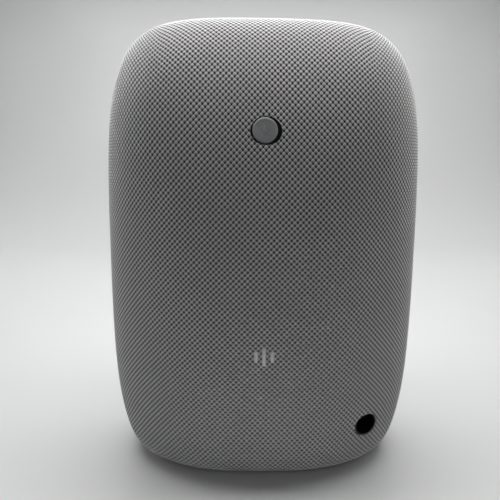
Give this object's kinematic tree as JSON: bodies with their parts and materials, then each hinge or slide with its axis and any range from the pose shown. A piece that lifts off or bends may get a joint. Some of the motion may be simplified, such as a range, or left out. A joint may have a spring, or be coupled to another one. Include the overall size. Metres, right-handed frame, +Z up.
{
  "type": "smart speaker",
  "caption": "Fabric-covered smart speaker, a rounded upright pillow shape, with a rear microphone mute slide and a power inlet.",
  "frame": {"origin": "on the surface the speaker stands on, under the middle of its foot", "axes": "+Z up, +Y towards the listener, -Y the rear with the mute switch and the power inlet"},
  "size_m": [0.124, 0.078, 0.175],
  "materials": {
    "grey_fabric": "light grey knitted mesh",
    "grey_housing": "moulded, matt",
    "dark_housing": "moulded, matt",
    "silicone": "matt silicone",
    "screw_steel": "zinc plated",
    "pale_plastic": "satin",
    "knob_plastic": "satin",
    "black_plastic": "satin",
    "orange_label": "matt",
    "circuit_board": "solder mask over laminate",
    "tin_plate": "tin plated",
    "contact_metal": "nickel plated brass",
    "black_steel": "powder coated",
    "plated_steel": "zinc plated",
    "ferrite": "sintered ferrite",
    "copper_coil": "enamelled copper wire",
    "cone_paper": "pressed fibre",
    "foam_rubber": "matt",
    "spider_cloth": "treated cotton cloth",
    "dome_metal": "pressed foil",
    "heat_aluminium": "extruded",
    "clear_plastic": "polished acrylic",
    "amber_film": "polyimide film",
    "wire_red": "insulated wire"
  },
  "bodies": {
    "shell": {"fabric_sleeve": "grey_fabric", "rear_housing": "grey_housing", "front_housing": "grey_housing", "base_plate": "grey_housing", "foot_pad": "silicone", "base_screws": "screw_steel", "shell_screws": "screw_steel", "emblem": "pale_plastic", "switch_recess": "black_plastic", "mute_indicator": "orange_label", "mute_switch": "tin_plate", "mute_board": "circuit_board", "inlet_sleeve": "black_plastic", "power_jack": "black_plastic", "jack_pin": "contact_metal", "power_board": "circuit_board", "acoustic_chamber": "dark_housing", "chamber_gasket": "foam_rubber", "driver_baffle": "dark_housing", "woofer_basket": "black_steel", "woofer_yoke": "plated_steel", "woofer_magnet": "ferrite", "woofer_plate": "plated_steel", "woofer_surround": "foam_rubber", "woofer_spider": "spider_cloth", "woofer_screws": "screw_steel", "tweeter_frame": "black_plastic", "tweeter_magnet": "ferrite", "tweeter_screws": "screw_steel", "main_board": "circuit_board", "heat_spreader": "heat_aluminium", "chip_shield": "tin_plate", "board_screws": "screw_steel", "touch_board": "circuit_board", "mic_seals": "foam_rubber", "light_board": "circuit_board", "light_guides": "clear_plastic", "flex_cables": "amber_film", "speaker_wires": "wire_red"},
    "mute_slide": {"mute_knob": "knob_plastic", "mute_carrier": "black_plastic"},
    "woofer_piston": {"woofer_cone": "cone_paper", "dust_cap": "cone_paper", "voice_coil": "copper_coil"},
    "tweeter_piston": {"tweeter_dome": "dome_metal"}
  },
  "joints": [
    {"name": "mute_switch_slide", "type": "slide", "parent": "shell", "child": "mute_slide", "axis": [1, 0, 0], "range_m": [0, 0.0013]},
    {"name": "woofer_travel", "type": "slide", "parent": "shell", "child": "woofer_piston", "axis": [0, 1, 0], "range_m": [-0.003, 0.003], "stiffness_N_per_m": 1500, "deforming": ["woofer_surround", "woofer_spider"]},
    {"name": "tweeter_travel", "type": "slide", "parent": "shell", "child": "tweeter_piston", "axis": [0, 1, 0], "range_m": [-0.0003, 0.0003], "stiffness_N_per_m": 1500}
  ]
}
